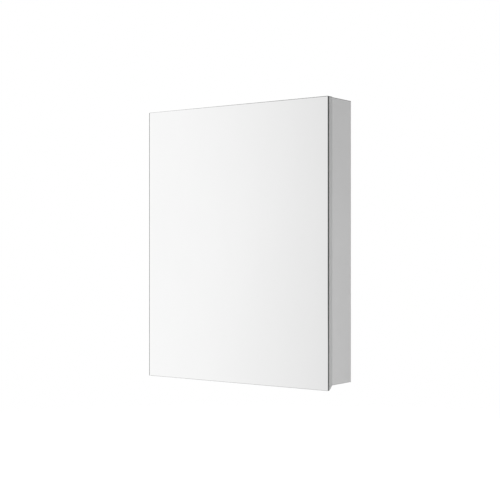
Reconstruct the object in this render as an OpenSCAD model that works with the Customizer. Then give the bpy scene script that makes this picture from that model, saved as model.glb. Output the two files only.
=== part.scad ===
// Wall-hung medicine cabinet with one mirror door on two concealed hinges and three glass shelves.
// X runs to the viewer's right, Y runs into the wall and Z runs up.
// The origin lies on the wall plane, at the middle of the body's width and height.

/* [Cabinet body] */
// Width of the cabinet body
body_w = 598; // [450:1:900]
// Height of the cabinet body
body_h = 737; // [690:1:900]
// Depth of the cabinet body from the wall to its front edge
body_d = 93; // [90:1:130]
// Thickness of the side, top and bottom panels
board_t = 15; // [14:0.5:17]
// Thickness of the back panel
back_t = 8; // [6:0.5:9]
// How far the back panel reaches into the panels around it
rebate_w = 8; // [7:0.5:9]
// Radius on the front edges of the panels
edge_r = 1; // [0.5:0.25:2]

/* [Wall mounting] */
// Diameter of the four holes for the wall screws
wall_hole_d = 7; // [5:0.5:10]
// Spacing of the wall holes across the back
wall_hole_dx = 440; // [300:5:440]
// Spacing of the wall holes up the back
wall_hole_dz = 620; // [560:5:640]

/* [Door] */
// How far the door reaches past each side of the body
side_overhang = 1; // [0.5:0.25:1.5]
// How far the door reaches above the body
top_overhang = 1; // [0.5:0.5:3]
// How far the door reaches below the body, as a finger grip
grip_drop = 12; // [8:1:20]
// Flat left at the foot of the door board, in front of the finger grip
grip_flat = 1; // [0.5:0.5:4]
// Gap between the closed door and the front edge of the body
door_gap = 1.5; // [1.4:0.1:1.8]
// Thickness of the door board
door_t = 15; // [15:0.5:20]
// Thickness of the mirror glass
mirror_t = 5; // [3:0.5:6]
// Thickness of the mounting tape behind the mirror
tape_t = 1; // [0.5:0.25:2]
// Width of one strip of mounting tape
tape_w = 25; // [12:1:40]
// Number of strips of mounting tape
tape_count = 5; // [3:1:8]
// How far the tape stays back from the edges of the mirror
tape_inset = 12; // [8:1:30]
// Diameter of a door bumper
bumper_d = 8; // [6:0.5:10]
// Thickness of a door bumper
bumper_t = 1.2; // [0.8:0.1:1.3]
// Distance of a bumper from the end of the body
bumper_inset = 20; // [12:1:60]

/* [Shelves] */
// Distance from one shelf to the next
shelf_step = 176; // [140:1:176]
// Thickness of a glass shelf
shelf_t = 5; // [4:0.5:8]
// Gap between a shelf and each side panel
shelf_side_gap = 1; // [0.5:0.25:1.25]
// Gap between a shelf and the back panel
shelf_back_gap = 1; // [0.5:0.5:4]
// How far a shelf stays back from the front edge of the body
shelf_front_inset = 8; // [5:1:12]
// Radius on the corners of a shelf
shelf_corner_r = 3; // [1:0.5:6]
// Distance of the shelf pins from the front and the back edge of a shelf
pin_inset = 13; // [10:1:20]
// Diameter of the peg of a shelf pin
pin_d = 4.9; // [3:0.1:6]
// Depth of the pin holes in the side panels
pin_hole_len = 10; // [8:0.5:11]
// Distance from a pin in use to the spare hole above and below it
spare_step = 32; // [20:1:32]
// Diameter of the tongue that a shelf rests on
tongue_d = 8; // [7:0.5:10]
// Length of the tongue past its collar
tongue_len = 9; // [7:0.5:12]
// Thickness of the clear pad on the tongue
pad_t = 0.8; // [0.5:0.1:1.5]

/* [Corner joints] */
// Diameter of a dowel
dowel_d = 8; // [6:0.5:8]
// Length of a dowel
dowel_len = 30; // [24:1:34]
// Length of a dowel that sits in the side panel
dowel_in_side = 10; // [8:0.5:11]
// Distance of the dowels from the front and the back of the body
dowel_inset = 20; // [16:1:24]
// Diameter of a cam lock
cam_d = 15; // [12:0.5:16]
// Depth of a cam lock's bore
cam_depth = 12.5; // [12:0.25:13]
// Distance of a cam lock from the end of its panel
cam_inset = 34; // [24:1:40]
// Diameter of the shank of a cam bolt
bolt_d = 6; // [5:0.5:7]
// Length of a cam bolt that sits in the side panel
bolt_in_side = 11; // [9:0.5:12]
// Diameter of a cam lock cap
cap_d = 17; // [16.5:0.5:20]
// Thickness of a cam lock cap
cap_t = 0.8; // [0.5:0.1:1]
// Diameter of a back panel screw
screw_d = 3.5; // [3:0.25:4]
// Length of a back panel screw
screw_len = 18; // [14:0.5:18]
// Distance of the first back screw on a side panel from the inside corner
side_screw_inset = 24; // [15:1:60]
// Distance of the first back screw on the top and bottom panels from the inside corner
rail_screw_inset = 84; // [50:1:120]

/* [Hinges] */
// Distance of a hinge from the end of the body
hinge_inset = 100; // [80:1:104]
// Diameter of a hinge cup
cup_d = 35; // [35:0.5:37]
// Distance from the edge of the door to the bore of the cup
cup_edge = 3; // [2.5:0.25:3]
// Depth of the cup
cup_depth = 12; // [12:0.25:13]
// Thickness of the floor of the cup
cup_floor = 0.7; // [0.5:0.05:0.75]
// Height of the pocket in the cup
pocket_h = 15; // [14.5:0.25:16]
// Thickness of the cup's flange
flange_t = 1.2; // [0.8:0.1:1.2]
// Spacing of the two screws of a cup
cup_screw_dz = 45; // [42:0.5:52]
// Distance of the cup screws from the middle of the cup, away from the door's edge
cup_screw_du = 9.5; // [7:0.5:11]
// Distance of the mounting plate's screws from the front edge of the body
plate_setback = 37; // [34:0.5:40]
// Spacing of the two screws of a mounting plate
plate_screw_dz = 32; // [32:0.5:40]
// Thickness of the wings of a mounting plate
plate_t = 2; // [1.8:0.1:3]
// Thickness of the steel of a hinge arm
arm_t = 1.5; // [1:0.1:1.5]
// Height of a hinge arm, over its two cheeks
arm_h = 17; // [17:0.25:18]
// Width of an outer link's plate
outer_link_w = 4; // [3:0.25:4.25]
// Thickness of an outer link's plate
outer_link_t = 1.5; // [1:0.1:1.5]
// Width of an inner link
inner_link_w = 3; // [2.4:0.1:3.2]
// Height of an inner link
inner_link_h = 6.8; // [5:0.2:7.2]
// Diameter of the pins in the hinge arm
arm_pin_d = 2.4; // [2:0.1:2.6]
// Diameter of the pins in the hinge cup
cup_pin_d = 2.2; // [1.8:0.1:2.4]
// Diameter of the cup screws
cup_screw_d = 3.5; // [3:0.25:4]
// Length of the cup screws
cup_screw_len = 13; // [10:0.5:13]
// Diameter of the mounting plate's screws
plate_screw_d = 6.2; // [5:0.2:6.4]
// Length of the mounting plate's screws
plate_screw_len = 12; // [10:0.5:12]
// Diameter of the arm screws
arm_screw_d = 4; // [3:0.5:5]

/* [Hidden] */
$fn = 48;

// Clearances
eps = 1;
bore_fit = 0.05;
back_play = 0.2;
end_play = 0.5;
side_inset = 0.01;

// Body
inner_x = body_w / 2 - board_t;
inner_z = body_h / 2 - board_t;
panel_z = body_h / 2 - board_t / 2;
back_half_w = inner_x + rebate_w;
back_half_h = inner_z + rebate_w;

// Door
door_w = body_w + 2 * side_overhang;
door_top = body_h / 2 + top_overhang;
door_bottom = -body_h / 2 - grip_drop;
door_h = door_top - door_bottom;
door_back_y = -body_d - door_gap;
door_front_y = door_back_y - door_t;
mirror_back_y = door_front_y - tape_t;

// Shelves
shelf_back_y = -back_t - shelf_back_gap;
shelf_front_y = -body_d + shelf_front_inset;
pin_rows = [shelf_back_y - pin_inset, shelf_front_y + pin_inset];
tongue_flat = 1;
collar_d = tongue_d + 1;
collar_t = 1.5;
pin_drop = shelf_t / 2 + pad_t + tongue_flat;
pin_end_gap = 0.5;
pad_w = tongue_d - 2;

// Screws of the back panel
screw_head_d = 2 * screw_d;
screw_head_h = 2.2;
side_screw_z = [for (row = [-1, -1 / 3, 1 / 3, 1]) row * (inner_z - side_screw_inset)];
rail_screw_x = [for (column = [-1, 0, 1]) column * (inner_x - rail_screw_inset)];

// Cam locks
cam_play = 0.05;
cam_recess = 0.5;
bolt_head_d = bolt_d + 0.6;
bolt_reach = cam_inset;
cam_slot_d = bolt_head_d + 0.8;
cap_stem_d = 4;
cap_stem_len = 2;

// Hinges, in the plan view of one hinge: u runs from the door's left edge towards the right,
// v runs from the front edge of the body towards the wall, and z = 0 is the hinge's middle
hinge_z = body_h / 2 - hinge_inset;
hinge_x = -body_w / 2 - side_overhang;
inner_u = side_overhang + board_t;
cup_u = cup_edge + cup_d / 2;
pocket_u0 = cup_edge + 2.3;
pocket_u1 = cup_u + cup_d / 2 - 3.5;
pocket_v = -door_gap - cup_depth + cup_floor;

// Pivots of the four-bar linkage with the door closed
outer_arm_pivot = [25, 5.6];
inner_arm_pivot = [28.7, 11.9];
outer_cup_pivot = [8.3, -door_gap - 2.5];
inner_cup_pivot = [9.3, -door_gap - 8.4];

// Bends of the links, which reach round the side panel's edge and over the rim of the cup
outer_bends = [[13, -door_gap - 7], [19.5, -door_gap - 4.5]];
inner_bends = [[18.2, -door_gap - 9.5], [26, -door_gap - 8.5]];
// The inner link's eye is a slot, in which the arm pin slides by this much
slot_from = inner_arm_pivot - [0.1, 0.1];
slot_to = inner_arm_pivot + [2.4, 2.3];
slot_w = arm_pin_d + 1;
eye_wall = 1.6;

// Plates of the hinge
eye_r = 3.4;
cheek_u = 27;
web_u = 36;
arm_v0 = outer_arm_pivot[1] - eye_r;
arm_v1 = 58;
ridge_v0 = 22;
ridge_v1 = arm_v1 - 2;
ridge_h = arm_h - 2 * arm_t - 1;
clamp_v = ridge_v1 - 8;
adjust_v = ridge_v0 + 6;
link_level = ridge_h / 2 - outer_link_t;
wing_w = 15;
flange_u0 = inner_u + 2.5;
flange_lip = 2;
flange_slot = arm_h + 1.6;
ear_w = 13;
rivet_head = 0.6;
pin_reach = pocket_h / 2 + 1.8;
spring_t = 0.6;
spring_h = 6;
spring_lift = 2;
spring_bend_v = arm_v0 + 4;
spring_tip_v = arm_v0 + 1.4;
arm_screw_reach = 8;
cup_screw_head_d = 2 * cup_screw_d;
cup_screw_head_h = 2;
plate_screw_head_d = plate_screw_d + 3.4;
plate_screw_head_h = 1.6;

lacquer = [0.74, 0.74, 0.75];
door_paint = [0.69, 0.69, 0.7];
mirror_silver = [0.86, 0.88, 0.9];
clear_glass = [0.7, 0.82, 0.8];
clear_plastic = [0.85, 0.87, 0.88];
nickel = [0.66, 0.65, 0.62];
zinc = [0.55, 0.56, 0.57];
beech = [0.76, 0.62, 0.44];
dark_foam = [0.22, 0.22, 0.22];

// Outline helpers

// Straight bar with round ends from one point to another. Its sides lie a hair inside the
// round ends, so that every side meets its end in one clean edge
module bar(from, to, width) {
    run = to - from;
    translate(from)
        rotate(atan2(run[1], run[0]))
            translate([0, side_inset - width / 2])
                square([norm(run), width - 2 * side_inset]);
    for (end = [from, to])
        translate(end)
            circle(d = width);
}

// Bar along a list of points, with round corners
module bent_bar(points, width) {
    for (i = [0 : len(points) - 2])
        bar(points[i], points[i + 1], width);
}

// Rectangle from the back to the front of the body, with its front corners rounded
module board_outline(width) {
    translate([0, -body_d + edge_r])
        square([width, body_d - edge_r]);
    translate([edge_r, -body_d])
        square([width - 2 * edge_r, body_d]);
    for (x = [edge_r, width - edge_r])
        translate([x, -body_d + edge_r])
            circle(r = edge_r);
}

module rounded_rectangle(width, depth, radius) {
    square([width - 2 * radius, depth], center = true);
    square([width, depth - 2 * radius], center = true);
    for (x = [-1, 1], y = [-1, 1])
        translate([x * (width / 2 - radius), y * (depth / 2 - radius)])
            circle(r = radius);
}

// Extrudes an outline drawn in Y and Z along X, starting at X = 0
module along_x(length) {
    rotate([90, 0, 90])
        linear_extrude(length)
            children();
}

// Extrudes an outline drawn in X and Z towards the front, starting at Y = 0
module to_front(length) {
    rotate([90, 0, 0])
        linear_extrude(length)
            children();
}

// Two plates with their faces at the given heights above and below the middle
module plate_pair(from, to) {
    for (side = [-1, 1])
        translate([0, 0, side * (from + to) / 2])
            linear_extrude(to - from, center = true)
                children();
}

// Countersunk screw or its hole: the head lies at Z = 0 and the shank runs up
module countersunk(shank_d, head_d, head_h, length, play = 0) {
    cylinder(d1 = head_d + 2 * play, d2 = shank_d + 2 * play, h = head_h);
    cylinder(d = shank_d + 2 * play, h = length + (play > 0 ? end_play : 0));
}

// Cross recess in the head of a screw whose head lies at Z = 0
module cross_recess(size) {
    for (turn = [0, 90])
        rotate(turn)
            translate([0, 0, size / 8])
                cube([size, size / 5, size / 4 + 0.02], center = true);
}

// Places

module at_corner_joints() {
    for (side = [-1, 1], level = [-1, 1])
        translate([side * inner_x, 0, level * panel_z])
            rotate([0, side * 90, 0])
                children();
}

module at_hinges() {
    for (level = [-1, 1])
        translate([hinge_x, -body_d, level * hinge_z])
            children();
}

module at_back_screws() {
    for (side = [-1, 1], z = side_screw_z)
        translate([side * (inner_x + rebate_w / 2), 0, z])
            rotate([90, 0, 0])
                children();
    for (level = [-1, 1], x = rail_screw_x)
        translate([x, 0, level * (inner_z + rebate_w / 2)])
            rotate([90, 0, 0])
                children();
}

module at_cup_screws() {
    for (level = [-1, 1])
        translate([cup_u + cup_screw_du, -door_gap + flange_t, level * cup_screw_dz / 2])
            rotate([90, 0, 0])
                children();
}

module at_plate_screws() {
    for (level = [-1, 1])
        translate([inner_u + plate_t, plate_setback, level * plate_screw_dz / 2])
            rotate([0, -90, 0])
                children();
}

module at_pivot(pivot) {
    translate(pivot)
        children();
}

// Cuts that two or more pieces share

module dowel_shape(play) {
    for (y = [-dowel_inset, -body_d + dowel_inset])
        translate([0, y, dowel_in_side - dowel_len - (play > 0 ? end_play : 0)])
            cylinder(d = dowel_d + 2 * play, h = dowel_len + (play > 0 ? 2 * end_play : 0));
}

module bolt_shape(play) {
    translate([0, -body_d / 2, -bolt_reach])
        cylinder(d = bolt_d + 2 * play, h = bolt_reach + bolt_in_side + play);
}

module back_screw_shape(play) {
    countersunk(screw_d, screw_head_d, screw_head_h, screw_len, play);
}

module cup_screw_shape(play) {
    countersunk(cup_screw_d, cup_screw_head_d, cup_screw_head_h, cup_screw_len, play);
}

module plate_screw_shape(play) {
    countersunk(plate_screw_d, plate_screw_head_d, plate_screw_head_h, plate_screw_len, play);
}

module back_rebate() {
    translate([-back_half_w, -back_t, -back_half_h])
        cube([2 * back_half_w, back_t + eps, 2 * back_half_h]);
}

// Cabinet

module side_panel() {
    color(lacquer)
        difference() {
            translate([inner_x, 0, -body_h / 2])
                linear_extrude(body_h)
                    board_outline(board_t);
            back_rebate();
            at_corner_joints() {
                dowel_shape(bore_fit);
                bolt_shape(bore_fit);
            }
            at_back_screws()
                back_screw_shape(bore_fit);
            for (shelf = [-1, 0, 1], spare = [-1, 0, 1], y = pin_rows)
                translate([inner_x, y, shelf * shelf_step - pin_drop + spare * spare_step])
                    rotate([0, 90, 0])
                        translate([0, 0, -eps])
                            cylinder(d = pin_d + 2 * bore_fit, h = pin_hole_len + eps);
        }
}

module side_panel_right() {
    side_panel();
}

module side_panel_left() {
    color(lacquer)
        difference() {
            mirror([1, 0, 0])
                side_panel();
            at_hinges()
                at_plate_screws()
                    plate_screw_shape(bore_fit);
        }
}

module rail_panel(level) {
    outer_z = level * body_h / 2;
    color(lacquer)
        difference() {
            translate([-inner_x, 0, level > 0 ? inner_z : -body_h / 2])
                along_x(2 * inner_x)
                    rail_outline();
            back_rebate();
            at_corner_joints() {
                dowel_shape(bore_fit);
                bolt_shape(bore_fit);
            }
            at_back_screws()
                back_screw_shape(bore_fit);
            for (side = [-1, 1])
                translate([side * (inner_x - cam_inset), -body_d / 2, outer_z])
                    translate([0, 0, level > 0 ? -cam_depth : -eps])
                        cylinder(d = cam_d, h = cam_depth + eps);
        }
}

// The outline of the top and bottom panels, drawn in Y and Z
module rail_outline() {
    mirror([1, -1])
        board_outline(board_t);
}

module top_panel() {
    rail_panel(1);
}

module bottom_panel() {
    rail_panel(-1);
}

module back_panel() {
    color(lacquer)
        difference() {
            translate([-back_half_w + back_play, -back_t, -back_half_h + back_play])
                cube([2 * (back_half_w - back_play), back_t, 2 * (back_half_h - back_play)]);
            at_back_screws()
                back_screw_shape(bore_fit);
            for (x = [-1, 1], z = [-1, 1])
                translate([x * wall_hole_dx / 2, eps, z * wall_hole_dz / 2])
                    rotate([90, 0, 0])
                        cylinder(d = wall_hole_d, h = back_t + 2 * eps);
        }
}

module dowels() {
    color(beech)
        at_corner_joints()
            dowel_shape(0);
}

module cam_locks() {
    color(zinc)
        for (level = [-1, 1], side = [-1, 1])
            translate([side * (inner_x - cam_inset), -body_d / 2, level * (body_h / 2 - cam_depth)])
                mirror([0, 0, level > 0 ? 0 : 1])
                    difference() {
                        cylinder(d = cam_d - 2 * cam_play, h = cam_depth - cam_recess);
                        translate([0, 0, cam_depth - board_t / 2])
                            rotate([0, side * 90, 0])
                                translate([0, 0, -cam_slot_d / 2])
                                    cylinder(d = cam_slot_d, h = cam_d);
                        translate([0, 0, cam_depth - cam_recess - cap_stem_len])
                            cylinder(d = cap_stem_d + 2 * bore_fit, h = cap_stem_len + eps);
                    }
}

module cam_bolts() {
    color(zinc)
        at_corner_joints() {
            bolt_shape(0);
            translate([0, -body_d / 2, -bolt_reach])
                sphere(d = bolt_head_d);
        }
}

module cam_caps() {
    color(lacquer)
        for (level = [-1, 1], side = [-1, 1])
            translate([side * (inner_x - cam_inset), -body_d / 2, level * body_h / 2])
                mirror([0, 0, level > 0 ? 0 : 1]) {
                    cylinder(d = cap_d, h = cap_t);
                    translate([0, 0, -cam_recess - cap_stem_len + end_play])
                        cylinder(d = cap_stem_d, h = cam_recess + cap_stem_len);
                }
}

module back_screws() {
    color(zinc)
        at_back_screws()
            difference() {
                back_screw_shape(0);
                cross_recess(screw_head_d * 0.6);
            }
}

// Shelves

module shelf(place) {
    depth = shelf_back_y - shelf_front_y;
    color(clear_glass)
        translate([0, (shelf_back_y + shelf_front_y) / 2, place * shelf_step - shelf_t / 2])
            linear_extrude(shelf_t)
                rounded_rectangle(2 * (inner_x - shelf_side_gap), depth, shelf_corner_r);
}

module shelf_lower() {
    shelf(-1);
}

module shelf_middle() {
    shelf(0);
}

module shelf_upper() {
    shelf(1);
}

// In a pin's own frame the peg runs up along Z into the side panel, and the flat on which
// the pad lies faces away from the shelf's underside
module pin_shape(side) {
    head_len = collar_t + tongue_len;
    difference() {
        union() {
            translate([0, 0, -eps])
                cylinder(d = pin_d, h = pin_hole_len - pin_end_gap + eps);
            translate([0, 0, -collar_t])
                cylinder(d = collar_d, h = collar_t);
            translate([0, 0, -head_len])
                cylinder(d = tongue_d, h = tongue_len + eps);
        }
        translate([side > 0 ? -collar_d - tongue_flat : tongue_flat, -collar_d, -head_len - eps])
            cube([collar_d, 2 * collar_d, head_len + eps]);
    }
}

module shelf_pins() {
    color(nickel)
        for (side = [-1, 1], place = [-1, 0, 1], y = pin_rows)
            translate([side * inner_x, y, place * shelf_step - pin_drop])
                rotate([0, side * 90, 0])
                    pin_shape(side);
}

module shelf_pads() {
    color(clear_plastic)
        for (side = [-1, 1], place = [-1, 0, 1], y = pin_rows)
            translate([
                side * (inner_x - collar_t - tongue_len / 2),
                y,
                place * shelf_step - shelf_t / 2 - pad_t
            ])
                linear_extrude(pad_t)
                    rounded_rectangle(tongue_len - 1, pad_w, 1);
}

// Door

module door_board() {
    color(door_paint)
        difference() {
            translate([-door_w / 2, door_back_y, 0])
                along_x(door_w)
                    polygon([
                        [0, door_top],
                        [-door_t, door_top],
                        [-door_t, door_bottom],
                        [-door_t + grip_flat, door_bottom],
                        [0, door_bottom + grip_drop]
                    ]);
            at_hinges() {
                translate([cup_u, -door_gap + eps, 0])
                    to_front(cup_depth + eps)
                        circle(d = cup_d + 2 * bore_fit);
                at_cup_screws()
                    cup_screw_shape(bore_fit);
            }
        }
}

module mirror_tape() {
    first = -door_w / 2 + tape_inset;
    pitch = (door_w - 2 * tape_inset - tape_w) / (tape_count - 1);
    color(dark_foam)
        for (strip = [0 : tape_count - 1])
            translate([first + strip * pitch, mirror_back_y, door_bottom + tape_inset])
                cube([tape_w, tape_t, door_h - 2 * tape_inset]);
}

module mirror_glass() {
    color(mirror_silver)
        translate([-door_w / 2, mirror_back_y - mirror_t, door_bottom])
            cube([door_w, mirror_t, door_h]);
}

module door_bumpers() {
    color(clear_plastic)
        for (level = [-1, 1])
            translate([
                inner_x + board_t / 2,
                door_back_y + bumper_t,
                level * (body_h / 2 - bumper_inset)
            ])
                to_front(bumper_t)
                    circle(d = bumper_d);
}

// Hinges

module flange_outline() {
    difference() {
        union() {
            intersection() {
                translate([cup_u, 0])
                    circle(d = cup_d + 2 * flange_lip);
                translate([flange_u0, -cup_d])
                    square([2 * cup_d, 2 * cup_d]);
            }
            bar(
                [cup_u + cup_screw_du, -cup_screw_dz / 2],
                [cup_u + cup_screw_du, cup_screw_dz / 2],
                ear_w
            );
        }
        translate([0, -flange_slot / 2])
            square([pocket_u1, flange_slot]);
    }
}

module hinge_cups() {
    color(nickel)
        at_hinges()
            difference() {
                union() {
                    translate([cup_u, -door_gap, 0])
                        to_front(cup_depth)
                            circle(d = cup_d);
                    translate([0, -door_gap + flange_t, 0])
                        to_front(flange_t)
                            flange_outline();
                }
                translate([pocket_u0, pocket_v, -pocket_h / 2])
                    cube([pocket_u1 - pocket_u0, cup_depth + flange_t, pocket_h]);
                for (pivot = [outer_cup_pivot, inner_cup_pivot])
                    at_pivot(pivot)
                        cylinder(d = cup_pin_d + 2 * bore_fit, h = 2 * pin_reach, center = true);
                at_cup_screws()
                    cup_screw_shape(bore_fit);
            }
}

module cup_screws() {
    color(nickel)
        at_hinges()
            at_cup_screws()
                difference() {
                    cup_screw_shape(0);
                    cross_recess(cup_screw_d * 1.2);
                }
}

module cup_pins() {
    color(zinc)
        at_hinges()
            at_pivot(inner_cup_pivot)
                cylinder(d = cup_pin_d, h = 2 * pin_reach, center = true);
}

module cup_rivets() {
    color(zinc)
        at_hinges()
            at_pivot(outer_cup_pivot) {
                plate_pair(link_level - rivet_head, pin_reach)
                    circle(d = cup_pin_d);
                plate_pair(link_level - rivet_head, link_level)
                    circle(d = cup_pin_d + 1.2);
            }
}

module outer_links() {
    color(nickel)
        at_hinges()
            plate_pair(link_level + bore_fit, link_level + outer_link_t)
                difference() {
                    union() {
                        bent_bar(
                            concat([outer_cup_pivot], outer_bends, [outer_arm_pivot]),
                            outer_link_w
                        );
                        at_pivot(outer_arm_pivot)
                            circle(d = outer_link_w + 1);
                    }
                    at_pivot(outer_cup_pivot)
                        circle(d = cup_pin_d + 2 * bore_fit);
                    at_pivot(outer_arm_pivot)
                        circle(d = arm_pin_d + 2 * bore_fit);
                }
}

module inner_links() {
    color(nickel)
        at_hinges()
            linear_extrude(inner_link_h, center = true)
                difference() {
                    union() {
                        bent_bar(
                            concat([inner_cup_pivot], inner_bends, [slot_from]),
                            inner_link_w
                        );
                        at_pivot(inner_cup_pivot)
                            circle(d = inner_link_w + 1);
                        bar(slot_from, slot_to, slot_w + 2 * eye_wall);
                    }
                    at_pivot(inner_cup_pivot)
                        circle(d = cup_pin_d + 2 * bore_fit);
                    bar(slot_from, slot_to, slot_w);
                }
}

module cheek_outline() {
    bar(outer_arm_pivot, inner_arm_pivot, 2 * eye_r);
    polygon([
        [outer_arm_pivot[0], arm_v0],
        [web_u, arm_v0],
        [web_u, arm_v1],
        [cheek_u, arm_v1],
        [cheek_u, inner_arm_pivot[1]],
        outer_arm_pivot
    ]);
}

module hinge_arms() {
    color(nickel)
        at_hinges()
            difference() {
                union() {
                    translate([web_u, arm_v0, -arm_h / 2])
                        cube([arm_t, arm_v1 - arm_v0, arm_h]);
                    plate_pair(arm_h / 2 - arm_t, arm_h / 2)
                        cheek_outline();
                }
                for (pivot = [outer_arm_pivot, inner_arm_pivot])
                    at_pivot(pivot)
                        cylinder(d = arm_pin_d + 2 * bore_fit, h = 2 * arm_h, center = true);
                for (v = [clamp_v, adjust_v])
                    translate([web_u - eps, v, 0])
                        rotate([0, 90, 0])
                            cylinder(d = arm_screw_d + 2 * bore_fit, h = arm_t + 2 * eps);
            }
}

module arm_pins() {
    color(zinc)
        at_hinges()
            at_pivot(inner_arm_pivot) {
                cylinder(d = arm_pin_d, h = arm_h + 2 * rivet_head, center = true);
                plate_pair(arm_h / 2, arm_h / 2 + rivet_head)
                    circle(d = arm_pin_d + 1.4);
            }
}

module arm_rivets() {
    color(zinc)
        at_hinges()
            at_pivot(outer_arm_pivot) {
                plate_pair(link_level - rivet_head, arm_h / 2 + rivet_head)
                    circle(d = arm_pin_d);
                plate_pair(link_level - rivet_head, link_level)
                    circle(d = arm_pin_d + 1.4);
                plate_pair(arm_h / 2, arm_h / 2 + rivet_head)
                    circle(d = arm_pin_d + 1.4);
            }
}

// Leaf spring that lies on the web of the arm, its free end bent towards the inner link's eye
module closing_springs() {
    color(zinc)
        at_hinges()
            linear_extrude(spring_h, center = true)
                polygon([
                    [web_u, ridge_v0 - 1],
                    [web_u - spring_t, ridge_v0 - 1],
                    [web_u - spring_t, spring_bend_v],
                    [web_u - spring_t - spring_lift, spring_tip_v],
                    [web_u - spring_lift, spring_tip_v - spring_t / 2],
                    [web_u, spring_bend_v]
                ]);
}

module mounting_plates() {
    color(nickel)
        at_hinges()
            difference() {
                union() {
                    translate([inner_u, 0, 0])
                        along_x(plate_t) {
                            bar(
                                [plate_setback, -plate_screw_dz / 2],
                                [plate_setback, plate_screw_dz / 2],
                                wing_w
                            );
                            translate([ridge_v0, -ridge_h / 2])
                                square([ridge_v1 - ridge_v0, ridge_h]);
                        }
                    translate([inner_u, ridge_v0, -ridge_h / 2])
                        cube([web_u - inner_u, ridge_v1 - ridge_v0, ridge_h]);
                }
                at_plate_screws()
                    plate_screw_shape(bore_fit);
                for (v = [clamp_v, adjust_v])
                    translate([web_u + eps, v, 0])
                        rotate([0, -90, 0])
                            cylinder(d = arm_screw_d + 2 * bore_fit, h = arm_screw_reach + eps);
            }
}

module plate_screws() {
    color(zinc)
        at_hinges()
            at_plate_screws()
                difference() {
                    plate_screw_shape(0);
                    cross_recess(plate_screw_d * 0.8);
                }
}

module arm_screw(v, head_d, head_h) {
    translate([web_u + arm_t, v, 0])
        rotate([0, -90, 0])
            difference() {
                union() {
                    translate([0, 0, -head_h])
                        cylinder(d = head_d, h = head_h);
                    cylinder(d = arm_screw_d, h = arm_t + arm_screw_reach - end_play);
                }
                translate([0, 0, -head_h])
                    cross_recess(head_d * 0.7);
            }
}

module clamp_screws() {
    color(zinc)
        at_hinges()
            arm_screw(clamp_v, arm_screw_d + 3, 2);
}

module adjusting_screws() {
    color(zinc)
        at_hinges()
            arm_screw(adjust_v, arm_screw_d + 2, 1.4);
}

side_panel_left();
side_panel_right();
top_panel();
bottom_panel();
back_panel();
dowels();
cam_locks();
cam_bolts();
cam_caps();
back_screws();
shelf_lower();
shelf_middle();
shelf_upper();
shelf_pins();
shelf_pads();
door_board();
mirror_tape();
mirror_glass();
door_bumpers();
hinge_cups();
cup_screws();
cup_pins();
cup_rivets();
outer_links();
inner_links();
hinge_arms();
arm_pins();
arm_rivets();
closing_springs();
mounting_plates();
plate_screws();
clamp_screws();
adjusting_screws();
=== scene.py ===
"""Looks of the wall-hung mirror cabinet: materials, softened edges, light and camera."""
import math

import bmesh
import bpy
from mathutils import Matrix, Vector


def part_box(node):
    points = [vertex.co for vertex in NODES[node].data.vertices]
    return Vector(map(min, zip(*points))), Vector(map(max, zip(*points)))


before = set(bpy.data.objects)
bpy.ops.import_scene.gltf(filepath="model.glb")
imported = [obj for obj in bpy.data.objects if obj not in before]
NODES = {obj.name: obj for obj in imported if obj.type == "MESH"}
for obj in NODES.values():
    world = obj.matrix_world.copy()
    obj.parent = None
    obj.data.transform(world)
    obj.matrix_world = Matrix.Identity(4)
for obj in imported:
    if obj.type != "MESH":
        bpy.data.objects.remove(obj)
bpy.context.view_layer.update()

# Lengths are in metres, lamps in watts, and tones and colours are linear
MM = 0.001
# How far two points may lie apart and still count as being at the same place
TOUCH = 0.01 * MM

# Bevels of the real edges
GLASS_BEVEL = 0.5 * MM
BOARD_BEVEL = 0.4 * MM

# Softness of the lines that a material draws
LINE_BLUR = 0.3 * MM
# Depth of the layer that counts as a board's outer face, and as the back face of the mirror
BOARD_SKIN = 0.5 * MM
GLASS_SKIN = 0.05 * MM
# Width of the painted shade along the top and foot ends of a board's outer side faces
SHADED_END = 1.5 * MM
# How far the silvering goes back over the front bevel of the glass
SILVER_WRAP = 0.4 * GLASS_BEVEL
# Dark strip round the mirror's silvering, painted to stand in for the dark edge of the glass seen
# through its front. It grows along the top towards the right, and fades out on the right-hand side
# towards the foot, between the two heights of STRIP_FADE
STRIP_LEFT = 1.95 * MM
STRIP_FOOT = 0.7 * MM
STRIP_TOP = (0.6 * MM, 1.25 * MM)
STRIP_RIGHT = 0.8 * MM
STRIP_LEAST = 0.1 * MM
STRIP_FADE = (-0.29, -0.17)
# Width of the green edge of a glass shelf, seen from above, and its softness
SHELF_EDGE = 1.2 * MM
SHELF_BLUR = 1.6 * MM

# Where most of a noise's values lie
NOISE_MIDDLE = (0.3, 0.7)

# Tones of the greys. A pair is mixed by a noise
BODY_TONE = 0.57
DOOR_TONE = 0.455
SILVER_TONES = (0.950, 0.965)
BACK_PAINT_TONES = (0.20, 0.24)
FOAM_TONES = (0.062, 0.03)
CAP_TONES = (0.555, 0.585)

MIRROR_EDGE = (0.052, 0.056, 0.054, 1.0)
# Painted shade on the mirror's edge: its level from the foot to the top, darker towards the top
MIRROR_EDGE_SHADE = (1.0, 0.42)
SHELF_CLEAR = (0.955, 0.985, 0.975, 1.0)
SHELF_GREEN = (0.40, 0.70, 0.60, 1.0)
NICKEL = (0.74, 0.72, 0.69)
ZINC = (0.66, 0.68, 0.71)
# Levels of a metal's dull and bright clouds
METAL_DULL = 0.86
METAL_BRIGHT = 1.05
BEECH = (0.60, 0.40, 0.22, 1.0)
BEECH_RING = (0.72, 0.52, 0.32, 1.0)
BEECH_FIBRE = (0.42, 0.25, 0.12, 1.0)
PLASTIC_CLOUDY = (0.90, 0.92, 0.93, 1.0)
PLASTIC_CLEAR = (0.97, 0.98, 0.98, 1.0)

FLOOR_Z = -1.2
FLOOR_R = 5.5
FLOOR_SIDES = 64
FLOOR_TONES = (0.79, 0.81)
FLOOR_MIRRORED = 0.58
# The floor fades out from this radius to its rim
FLOOR_FADE = 2.5
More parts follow.
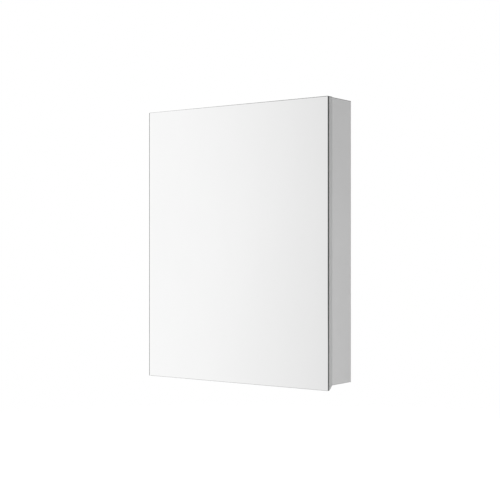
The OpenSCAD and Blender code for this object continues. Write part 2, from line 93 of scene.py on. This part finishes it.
# The glow that the camera sees on the floor rises between these radii and strengths
GLOW_RADII = (0.4, 2.6)
GLOW = (0.09, 0.9)

# Brightness of the room that the mirror shows, from its left (0) to its right (1)
ROOM = [
    (0.0, 0.991), (0.17, 0.996), (0.21, 0.93), (0.26, 0.713),
    (0.42, 0.70), (0.60, 0.56), (0.80, 0.60), (1.0, 0.72),
]
ROOM_LIGHT = 0.50
# How much brighter the right half of that room gets towards its ceiling, and where across the
# room, from -1 to 1, this sets in
ROOM_RISE = 0.6
RISE_FROM, RISE_TO = -0.5, 0.1

CAMERA_AT = (1.792, -2.515, -0.0223)
CAMERA_TURN = 35.893
LENS = 79.9
SENSOR = 36.0
CLIP = (0.05, 60.0)


# Node helpers

def grey(value):
    return (value, value, value, 1.0)


class Tree:
    """A short way to write a node tree. An input is a number, a colour or another node's output."""

    def __init__(self, tree):
        self.tree = tree
        tree.nodes.clear()

    def put(self, socket, value):
        if isinstance(value, bpy.types.NodeSocket):
            self.tree.links.new(value, socket)
        else:
            socket.default_value = value

    def add(self, kind, settings=None, **inputs):
        """Adds a node with those settings. An underscore in an input's name stands for a space."""
        node = self.tree.nodes.new(kind)
        for key, value in (settings or {}).items():
            setattr(node, key, value)
        for key, value in inputs.items():
            self.put(node.inputs[key.replace("_", " ")], value)
        return node

    def fill(self, node, values):
        """Puts the values into the node's first inputs and gives its first output."""
        for socket, value in zip(node.inputs, values):
            self.put(socket, value)
        return node.outputs[0]

    def math(self, operation, *values):
        return self.fill(self.add("ShaderNodeMath", {"operation": operation}), values)

    def blend(self, factor, first, second):
        """The first shader where the factor is 0, and the second where it is 1."""
        return self.fill(self.add("ShaderNodeMixShader"), (factor, first, second))

    def mix_value(self, factor, first, second):
        node = self.add("ShaderNodeMix", {"data_type": "FLOAT"}, Factor=factor)
        self.put(node.inputs[2], first)
        self.put(node.inputs[3], second)
        return node.outputs[0]

    def mix_colour(self, factor, first, second, kind="MIX"):
        node = self.add("ShaderNodeMix", {"data_type": "RGBA", "blend_type": kind}, Factor=factor)
        self.put(node.inputs[6], first)
        self.put(node.inputs[7], second)
        return node.outputs[2]

    def mix_grey(self, factor, first, second):
        return self.mix_colour(factor, grey(first), grey(second))

    def shade(self, colour, level):
        """The colour times a level."""
        return self.mix_colour(1.0, colour, level, "MULTIPLY")

    def axes(self, where):
        return self.add("ShaderNodeSeparateXYZ", Vector=where).outputs

    def stretched(self, where, x, y, z):
        return self.add("ShaderNodeMapping", Vector=where, Scale=(x, y, z)).outputs[0]

    def noise(self, where, scale, detail=2.0, rough=0.5):
        """A noise whose scale is per metre."""
        node = self.add("ShaderNodeTexNoise", Vector=where, Scale=scale, Detail=detail, Roughness=rough)
        return node.outputs["Fac"]

    def ramp(self, value, start, end, low=0.0, high=1.0, kind="LINEAR"):
        """Maps start to end onto low to high, and holds both ends."""
        node = self.add(
            "ShaderNodeMapRange", {"interpolation_type": kind},
            Value=value, From_Min=start, From_Max=end, To_Min=low, To_Max=high,
        )
        return node.outputs[0]

    def spread(self, noise, low=0.0, high=1.0):
        """Maps the middle of a noise onto low to high."""
        return self.ramp(noise, *NOISE_MIDDLE, low, high)

    def mottle(self, where, scale, low=0.0, high=1.0, detail=2.0):
        """A noise that goes from low to high."""
        return self.spread(self.noise(where, scale, detail), low, high)

    def above(self, value, edge, blur=LINE_BLUR):
        """0 below the edge and 1 above it, over a soft width."""
        return self.ramp(value, edge - blur / 2, edge + blur / 2)

    def bump(self, height, strength, distance):
        node = self.add("ShaderNodeBump", Strength=strength, Distance=distance, Height=height)
        return node.outputs[0]


def surface(name, **constants):
    """A new material with one Principled shader, whose constant inputs are set. Gives the material,
    its tree, the shader's inputs and the place on the object."""
    material = bpy.data.materials.new(name)
    material.use_nodes = True
    t = Tree(material.node_tree)
    shader = t.add("ShaderNodeBsdfPrincipled", **constants)
    t.add("ShaderNodeOutputMaterial", Surface=shader.outputs[0])
    where = t.add("ShaderNodeTexCoord").outputs["Object"]
    return material, t, shader.inputs, where


# Materials

def board_material(name, tone, lo, hi, top_shade, foot_shade):
    """Satin lacquer on fibreboard: a fine orange peel and a faint mottle. The outer side faces get a
    painted shade along their top and foot ends, by the two shades, standing in for the shade on their
    rounded edges."""
    material, t, inputs, where = surface(name, Specular_IOR_Level=0.42)
    mottle = t.mottle(where, scale=9.0, low=-0.012, high=0.012, detail=3.0)
    grain = t.mottle(where, scale=700.0, low=-0.014, high=0.014)
    level = t.math("ADD", t.math("ADD", mottle, grain), 1.0)
    x, _, z = t.axes(where)
    outer = t.above(t.math("ABSOLUTE", x), hi.x - BOARD_SKIN)
    # Painted shade: the outer side faces are darker along their top and foot ends
    head = t.math("MULTIPLY", t.above(z, hi.z - SHADED_END), top_shade)
    foot = t.math("MULTIPLY", t.above(t.math("MULTIPLY", z, -1.0), -lo.z - SHADED_END), foot_shade)
    painted_end_shade = t.math("MULTIPLY", t.math("MAXIMUM", head, foot), outer)
    level = t.math("MULTIPLY", level, t.math("SUBTRACT", 1.0, painted_end_shade))
    peel = t.noise(where, scale=1100.0, detail=1.0)
    t.put(inputs["Base Color"], t.shade(grey(tone), level))
    t.put(inputs["Roughness"], t.mottle(where, scale=60.0, low=0.36, high=0.46, detail=4.0))
    t.put(inputs["Normal"], t.bump(peel, strength=0.10, distance=0.12 * MM))
    return material


def silvered_area(t, where, lo, hi):
    """1 on the silvered part of the front and of its bevel, and 0 elsewhere. The strip left round it is
    painted, standing in for the dark edge of the glass seen through the front.
    """
    x, y, z = t.axes(where)
    # The strips are painted, standing in for the dark edge of the glass seen through the front
    margins = (
        (t.math("SUBTRACT", x, lo.x), STRIP_LEFT),
        (t.math("SUBTRACT", hi.x, x), t.ramp(z, *STRIP_FADE, STRIP_LEAST, STRIP_RIGHT)),
        (t.math("SUBTRACT", hi.z, z), t.ramp(x, lo.x, hi.x, *STRIP_TOP)),
        (t.math("SUBTRACT", z, lo.z), STRIP_FOOT),
    )
    area = t.math("LESS_THAN", y, lo.y + SILVER_WRAP)
    for gap, strip in margins:
        area = t.math("MINIMUM", area, t.above(t.math("SUBTRACT", gap, strip), 0.0))
    return area


def mirror_material(lo, hi):
    """Silvered front, a fine dark strip round it that is painted to stand in for the dark edge of the
    glass seen through the front, dark polished edges with a painted shade that darkens them towards the
    top, and a painted back."""
    material, t, inputs, where = surface("mirror_silver", Specular_IOR_Level=0.5, IOR=1.5)
    _, y, z = t.axes(where)
    silver = silvered_area(t, where, lo, hi)
    back = t.math("GREATER_THAN", y, hi.y - GLASS_SKIN)
    haze = t.noise(t.stretched(where, 1.0, 1.0, 0.6), scale=5.0, detail=5.0, rough=0.6)
    edge_depth_and_shade = t.mottle(where, scale=45.0, low=0.93, high=1.07, detail=3.0)
    # Painted shade: the edge is darker towards the top
    edge_depth_and_shade = t.math("MULTIPLY", edge_depth_and_shade, t.ramp(z, lo.z, hi.z, *MIRROR_EDGE_SHADE))
    glass = t.shade(MIRROR_EDGE, edge_depth_and_shade)
    silvering = t.mix_grey(t.spread(haze), *SILVER_TONES)
    paint = t.mix_grey(t.mottle(where, scale=90.0), *BACK_PAINT_TONES)
    t.put(inputs["Base Color"], t.mix_colour(back, t.mix_colour(silver, glass, silvering), paint))
    t.put(inputs["Metallic"], silver)
    ground = t.mottle(where, scale=300.0, low=0.10, high=0.22, detail=3.0)
    polish = t.mix_value(silver, ground, t.spread(haze, low=0.012, high=0.028))
    dull_paint = 0.6
    t.put(inputs["Roughness"], t.mix_value(back, polish, dull_paint))
    ripple = t.math("MULTIPLY", t.noise(where, scale=900.0), t.math("SUBTRACT", 1.0, silver))
    t.put(inputs["Normal"], t.bump(ripple, strength=0.05, distance=0.1 * MM))
    return material


def shelf_glass_material(lo, hi):
    """Clear float glass whose polished edges show the green of the glass."""
    material, t, inputs, where = surface("shelf_glass", Transmission_Weight=1.0, IOR=1.5)
    x, y, _ = t.axes(where)
    from_side = t.math("SUBTRACT", hi.x, t.math("ABSOLUTE", x))
    from_ends = t.math("MINIMUM", t.math("SUBTRACT", y, lo.y), t.math("SUBTRACT", hi.y, y))
    inside = t.above(t.math("MINIMUM", from_side, from_ends), SHELF_EDGE, SHELF_BLUR)
    face = t.shade(SHELF_CLEAR, t.mottle(where, scale=12.0, low=0.97, high=1.0))
    smear = t.mottle(where, scale=14.0, low=0.01, high=0.04, detail=4.0)
    ground = 0.12
    t.put(inputs["Base Color"], t.mix_colour(inside, SHELF_GREEN, face))
    t.put(inputs["Roughness"], t.mix_value(inside, ground, smear))
    return material


def metal_material(name, colour, roughness, line_scale, cloud_scale):
    """Plated steel: fine drawn lines, a little cloudiness, and roughness that follows both."""
    material, t, inputs, where = surface(name, Metallic=1.0)
    drawn = t.stretched(where, 1.0, 1.0, 0.06)
    lines = t.noise(drawn, line_scale, detail=3.0, rough=0.6)
    cloud = t.noise(where, cloud_scale, detail=4.0, rough=0.55)
    dull = tuple(METAL_DULL * c for c in colour) + (1.0,)
    bright = tuple(METAL_BRIGHT * c for c in colour) + (1.0,)
    mean = t.math("MULTIPLY", t.math("ADD", lines, cloud), 0.5)
    t.put(inputs["Base Color"], t.mix_colour(t.spread(cloud), dull, bright))
    t.put(inputs["Roughness"], t.spread(mean, *roughness))
    t.put(inputs["Normal"], t.bump(lines, strength=0.10, distance=0.05 * MM))
    return material


def beech_material():
    """Bare beech with its rings and fibres along X, the way the dowels lie."""
    material, t, inputs, where = surface("beech", Specular_IOR_Level=0.3)
    fibre = t.noise(t.stretched(where, 0.05, 1.0, 1.0), scale=900.0, detail=4.0, rough=0.6)
    rings = t.noise(t.stretched(where, 0.1, 1.0, 1.0), scale=160.0)
    tone = t.mix_colour(t.spread(rings), BEECH, BEECH_RING)
    streak = t.spread(fibre, low=0.0, high=0.35)
    t.put(inputs["Base Color"], t.mix_colour(streak, tone, BEECH_FIBRE))
    t.put(inputs["Roughness"], t.spread(fibre, low=0.55, high=0.75))
    t.put(inputs["Normal"], t.bump(fibre, strength=0.3, distance=0.2 * MM))
    return material


def foam_material():
    """Dark foam of the mounting tape, with fine open cells."""
    material, t, inputs, where = surface("tape_foam", Specular_IOR_Level=0.3)
    cells = t.add("ShaderNodeTexVoronoi", Vector=where, Scale=2600.0).outputs["Distance"]
    pits = t.math("MULTIPLY", cells, 0.5)
    t.put(inputs["Base Color"], t.mix_grey(pits, *FOAM_TONES))
    t.put(inputs["Roughness"], t.mottle(where, scale=500.0, low=0.75, high=0.95))
    t.put(inputs["Normal"], t.bump(cells, strength=0.4, distance=0.2 * MM))
    return material


def clear_plastic_material():
    """Clear soft plastic of the bumpers and pads, a little cloudy."""
    material, t, inputs, where = surface("clear_plastic", Transmission_Weight=0.85, IOR=1.46)
    haze = t.noise(where, scale=350.0, detail=3.0)
    t.put(inputs["Base Color"], t.mix_colour(haze, PLASTIC_CLOUDY, PLASTIC_CLEAR))
    t.put(inputs["Roughness"], t.spread(haze, low=0.16, high=0.34))
    t.put(inputs["Normal"], t.bump(haze, strength=0.08, distance=0.1 * MM))
    return material


def cap_material():
    """Moulded silver-grey plastic with a fine texture."""
    material, t, inputs, where = surface("cap_plastic", Specular_IOR_Level=0.45)
    fine = t.noise(where, scale=1500.0)
    t.put(inputs["Base Color"], t.mix_grey(t.spread(fine), *CAP_TONES))
    t.put(inputs["Roughness"], t.mottle(where, scale=200.0, low=0.38, high=0.5))
    t.put(inputs["Normal"], t.bump(fine, strength=0.15, distance=0.1 * MM))
    return material


side_lo, side_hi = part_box("side_panel_right")
door_lo, door_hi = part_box("door_board")

# top_shade and foot_shade are painted shade along the top and foot ends of the outer side faces
body_board = board_material(
    "body_lacquer_satin", BODY_TONE, side_lo, side_hi, top_shade=0.65, foot_shade=0.25)
door_board = board_material(
    "door_lacquer_satin", DOOR_TONE, door_lo, door_hi, top_shade=0.7, foot_shade=0.1)
nickel = metal_material("nickel_plate", NICKEL, (0.20, 0.34), line_scale=1400.0, cloud_scale=70.0)
zinc = metal_material("zinc_plate", ZINC, (0.30, 0.48), line_scale=900.0, cloud_scale=260.0)

SIDES = ["side_panel_left", "side_panel_right"]
SHELVES = ["shelf_lower", "shelf_middle", "shelf_upper"]
FINISHES = {
    body_board: SIDES + ["top_panel", "bottom_panel", "back_panel"],
    door_board: ["door_board"],
    mirror_material(*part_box("mirror_glass")): ["mirror_glass"],
    shelf_glass_material(*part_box("shelf_middle")): SHELVES,
    foam_material(): ["mirror_tape"],
    clear_plastic_material(): ["shelf_pads", "door_bumpers"],
    nickel: [
        "shelf_pins", "hinge_cups", "cup_screws", "outer_links", "inner_links", "hinge_arms",
        "mounting_plates",
    ],
    zinc: [
        "cam_locks", "cam_bolts", "back_screws", "cup_pins", "cup_rivets", "arm_pins", "arm_rivets",
        "closing_springs", "plate_screws", "clamp_screws", "adjusting_screws",
    ],
    beech_material(): ["dowels"],
    cap_material(): ["cam_caps"],
}
for material, names in FINISHES.items():
    for name in names:
        NODES[name].material_slots[0].material = material


# Softened edges

def soften(name, width, segments, picked):
    """Rounds the outer edges that picked(a, b) names by a small bevel. The loaded mesh is open along
    its hard edges, so those have one face each, and the weld joins them for the bevel. Only modifiers
    are added."""
    obj = NODES[name]
    work = bmesh.new()
    work.from_mesh(obj.data)
    weights = obj.data.attributes.new("bevel_weight_edge", "FLOAT", "EDGE")
    for edge in work.edges:
        a, b = edge.verts[0].co, edge.verts[1].co
        if len(edge.link_faces) == 1 and picked(a, b):
            weights.data[edge.index].value = 1.0
    work.free()
    weld = obj.modifiers.new("weld", "WELD")
    weld.merge_threshold = TOUCH / 5
    bevel = obj.modifiers.new("softened", "BEVEL")
    bevel.limit_method = "WEIGHT"
    bevel.width = width
    bevel.segments = segments


def on(value, *points):
    """Whether all the points lie at that value."""
    return all(abs(p - value) < TOUCH for p in points)


def glass_edge(a, b):
    """All edges of the mirror."""
    return True


def shelf_edge(a, b):
    """Along a shelf's upper and lower faces, and not down its corners."""
    return on(a.z, b.z)


def side_edge(a, b):
    """Round the two ends of a side panel, and down the outer edge at its back."""
    at_end = on(side_hi.z, abs(a.z), abs(b.z)) and a.z * b.z > 0
    at_back = on(0.0, a.y, b.y) and on(side_hi.x, abs(a.x), abs(b.x))
    return at_end or at_back


def door_edge(a, b):
    """Along the door's whole width, and round its two upright sides."""
    along = abs(a.x - b.x) > door_hi.x
    at_side = on(door_hi.x, abs(a.x), abs(b.x))
    return along or at_side


soften("mirror_glass", GLASS_BEVEL, segments=2, picked=glass_edge)
for shelf in SHELVES:
    soften(shelf, GLASS_BEVEL, segments=2, picked=shelf_edge)
soften("door_board", BOARD_BEVEL, segments=3, picked=door_edge)
for side in SIDES:
    soften(side, BOARD_BEVEL, segments=3, picked=side_edge)


# Floor, room and lamps

def floor_material():
    """Plain pale floor that fades out towards its rim and is clear from below. Camera rays add a glow
    that takes its lit part to white and leaves the shadow. The mirror shows it a little deeper."""
    material = bpy.data.materials.new("pale_floor")
    material.use_nodes = True
    t = Tree(material.node_tree)
    where = t.add("ShaderNodeTexCoord").outputs["Object"]
    flat = t.stretched(where, 1.0, 1.0, 0.0)
    radius = t.add("ShaderNodeVectorMath", {"operation": "LENGTH"}, Vector=flat).outputs["Value"]
    ray = t.add("ShaderNodeLightPath").outputs
    tone = t.mix_grey(t.noise(where, scale=3.0), *FLOOR_TONES)
    tone = t.mix_colour(ray["Is Glossy Ray"], tone, grey(FLOOR_MIRRORED))
    matte = t.add("ShaderNodeBsdfDiffuse", Color=tone, Roughness=0.0).outputs[0]
    strength = t.ramp(radius, *GLOW_RADII, *GLOW, "SMOOTHSTEP")
    glow = t.add("ShaderNodeEmission", Color=grey(1.0), Strength=strength).outputs[0]
    dark = t.add("ShaderNodeEmission", Color=grey(0.0), Strength=0.0).outputs[0]
    seen = t.math("MAXIMUM", ray["Is Camera Ray"], ray["Is Transmission Ray"])
    lit = t.fill(t.add("ShaderNodeAddShader"), (matte, t.blend(seen, dark, glow)))
    fade = t.ramp(radius, FLOOR_FADE, FLOOR_R, kind="SMOOTHSTEP")
    from_below = t.add("ShaderNodeNewGeometry").outputs["Backfacing"]
    clear = t.add("ShaderNodeBsdfTransparent").outputs[0]
    shown = t.blend(t.math("MAXIMUM", fade, from_below), lit, clear)
    t.add("ShaderNodeOutputMaterial", Surface=shown)
    return material


def make_floor():
    """A round flat floor that the object hangs above."""
    mesh = bpy.data.meshes.new("floor")
    turns = [2 * math.pi * i / FLOOR_SIDES for i in range(FLOOR_SIDES)]
    rim = [(FLOOR_R * math.cos(a), FLOOR_R * math.sin(a), FLOOR_Z) for a in turns]
    mesh.from_pydata(rim, [], [tuple(range(FLOOR_SIDES))])
    mesh.materials.append(floor_material())
    floor = bpy.data.objects.new("floor", mesh)
    bpy.context.scene.collection.objects.link(floor)


def make_room():
    """White to the camera. The mirror sees a room that is white on the left and falls off to a light
    grey on the right, and everything else gets an even light from it."""
    world = bpy.data.worlds.new("studio")
    world.use_nodes = True
    t = Tree(world.node_tree)
    right, _, up = t.axes(t.add("ShaderNodeTexCoord").outputs["Generated"])
    room = t.add("ShaderNodeValToRGB", Fac=t.math("MULTIPLY_ADD", right, 0.5, 0.5))
    room.color_ramp.interpolation = "B_SPLINE"
    stops = room.color_ramp.elements
    for place, _ in ROOM[1:-1]:
        stops.new(place)
    for stop, (_, tone) in zip(stops, ROOM):
        stop.color = grey(tone)
    rise = t.math("MULTIPLY", up, t.ramp(right, RISE_FROM, RISE_TO, 0.0, ROOM_RISE))
    background = "ShaderNodeBackground"
    mirrored = t.add(background, Color=room.outputs[0], Strength=t.math("ADD", rise, 1.0)).outputs[0]
    ambient = t.add(background, Color=grey(1.0), Strength=ROOM_LIGHT).outputs[0]
    white = t.add(background, Color=grey(1.0), Strength=1.0).outputs[0]
    ray = t.add("ShaderNodeLightPath").outputs
    seen = t.math("MAXIMUM", ray["Is Camera Ray"], ray["Is Transmission Ray"])
    unseen = t.blend(ray["Is Glossy Ray"], ambient, mirrored)
    t.add("ShaderNodeOutputWorld", Surface=t.blend(seen, unseen, white))
    bpy.context.scene.world = world


def softbox(name, place, size, power, spread=180.0):
    """A square lamp that is turned to the object, and spreads by those degrees. The mirror shows the
    room, and not the lamps."""
    lamp = bpy.data.lights.new(name, "AREA")
    lamp.shape = "SQUARE"
    lamp.size = size
    lamp.energy = power
    lamp.spread = math.radians(spread)
    obj = bpy.data.objects.new(name, lamp)
    bpy.context.scene.collection.objects.link(obj)
    obj.location = place
    obj.rotation_mode = "QUATERNION"
    obj.rotation_quaternion = (-Vector(place)).to_track_quat("-Z", "Y")
    obj.visible_glossy = False


make_floor()
make_room()
softbox("key_left", (-2.6, -3.0, 2.2), size=2.0, power=105.0)
softbox("fill_right", (2.6, -1.5, -0.85), size=0.7, power=4.4, spread=70.0)
softbox("front", (-0.6, -3.2, 0.5), size=1.6, power=5.5, spread=60.0)
softbox("top", (-0.2, 0.6, 3.2), size=2.4, power=38.0)
softbox("back_left", (-2.0, 3.0, 0.8), size=2.0, power=45.0)


# Camera, level and at the photograph's angle

camera = bpy.data.cameras.new("camera")
camera.sensor_width = SENSOR
camera.lens = LENS
camera.clip_start, camera.clip_end = CLIP
eye = bpy.data.objects.new("camera", camera)
bpy.context.scene.collection.objects.link(eye)
eye.location = CAMERA_AT
eye.rotation_euler = (math.radians(90.0), 0.0, math.radians(CAMERA_TURN))
bpy.context.scene.camera = eye
bpy.context.scene.view_settings.view_transform = "Standard"
